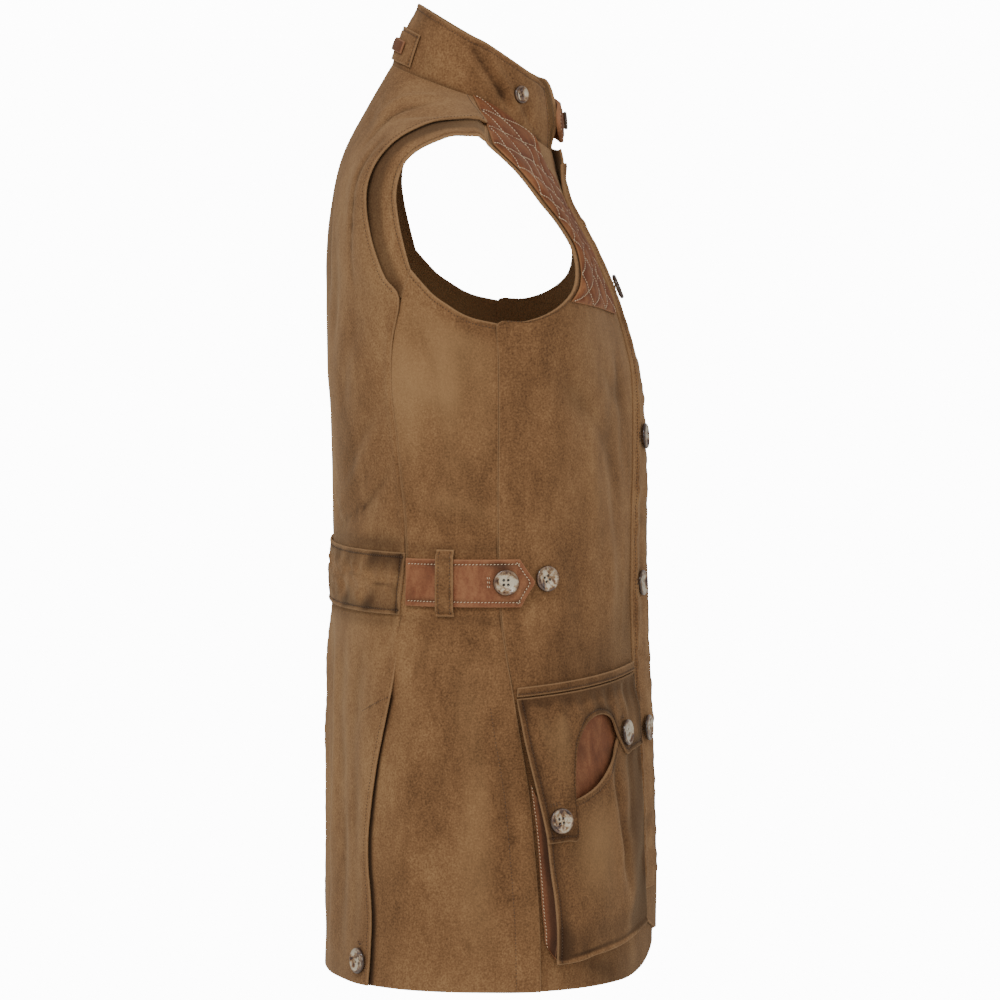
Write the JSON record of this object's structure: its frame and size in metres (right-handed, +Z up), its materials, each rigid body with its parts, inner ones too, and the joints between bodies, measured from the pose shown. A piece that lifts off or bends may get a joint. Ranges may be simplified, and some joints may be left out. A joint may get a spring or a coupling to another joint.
{
  "type": "shooting vest",
  "caption": "Hip-length suede shooting vest in its worn form: stand collar, buttoned lapped fronts, quilted shoulder patches, half belt with side straps, bellows pockets.",
  "frame": {"origin": "midpoint between the neck ends of the two shoulder seams, where the wearer's shoulders carry the vest", "axes": "+Z up, -Y the way the wearer faces, -X the wearer's right side"},
  "size_m": [0.4282, 0.2662, 0.7681],
  "materials": {
    "suede": "brushed suede, tan brown, soft mottled nap",
    "tan_leather": "smooth waxed leather, reddish tan",
    "quilted_leather": "soft matt leather, quilted in diamonds",
    "horn": "polished horn effect, mottled cream and brown"
  },
  "bodies": {
    "root": {"back": "suede", "side_panel_right": "suede", "side_panel_left": "suede", "pleat_underlay_right": "suede", "pleat_underlay_left": "suede", "front_right": "suede", "front_left": "suede", "front_band": "suede", "collar": "suede", "collar_back_patch": "suede", "half_belt": "suede", "belt_loop_right": "suede", "belt_loop_left": "suede", "pocket_band_right": "suede", "pocket_flap_right": "suede", "pocket_pouch_right": "suede", "pocket_band_left": "suede", "pocket_flap_left": "suede", "pocket_pouch_left": "suede", "hanger_loop": "tan_leather", "throat_tab": "tan_leather", "belt_strap_right": "tan_leather", "pocket_gusset_right": "tan_leather", "pocket_back_right": "tan_leather", "belt_strap_left": "tan_leather", "pocket_gusset_left": "tan_leather", "pocket_back_left": "tan_leather", "quilted_patch_right": "quilted_leather", "quilted_patch_left": "quilted_leather", "front_button_1": "horn", "front_button_2": "horn", "front_button_3": "horn", "front_button_4": "horn", "collar_button": "horn", "throat_button": "horn", "belt_button_rear_right": "horn", "belt_button_front_right": "horn", "pocket_button_rear_right": "horn", "pocket_button_front_right": "horn", "vent_button_right": "horn", "belt_button_rear_left": "horn", "belt_button_front_left": "horn", "pocket_button_rear_left": "horn", "pocket_button_front_left": "horn", "vent_button_left": "horn"}
  },
  "joints": []
}
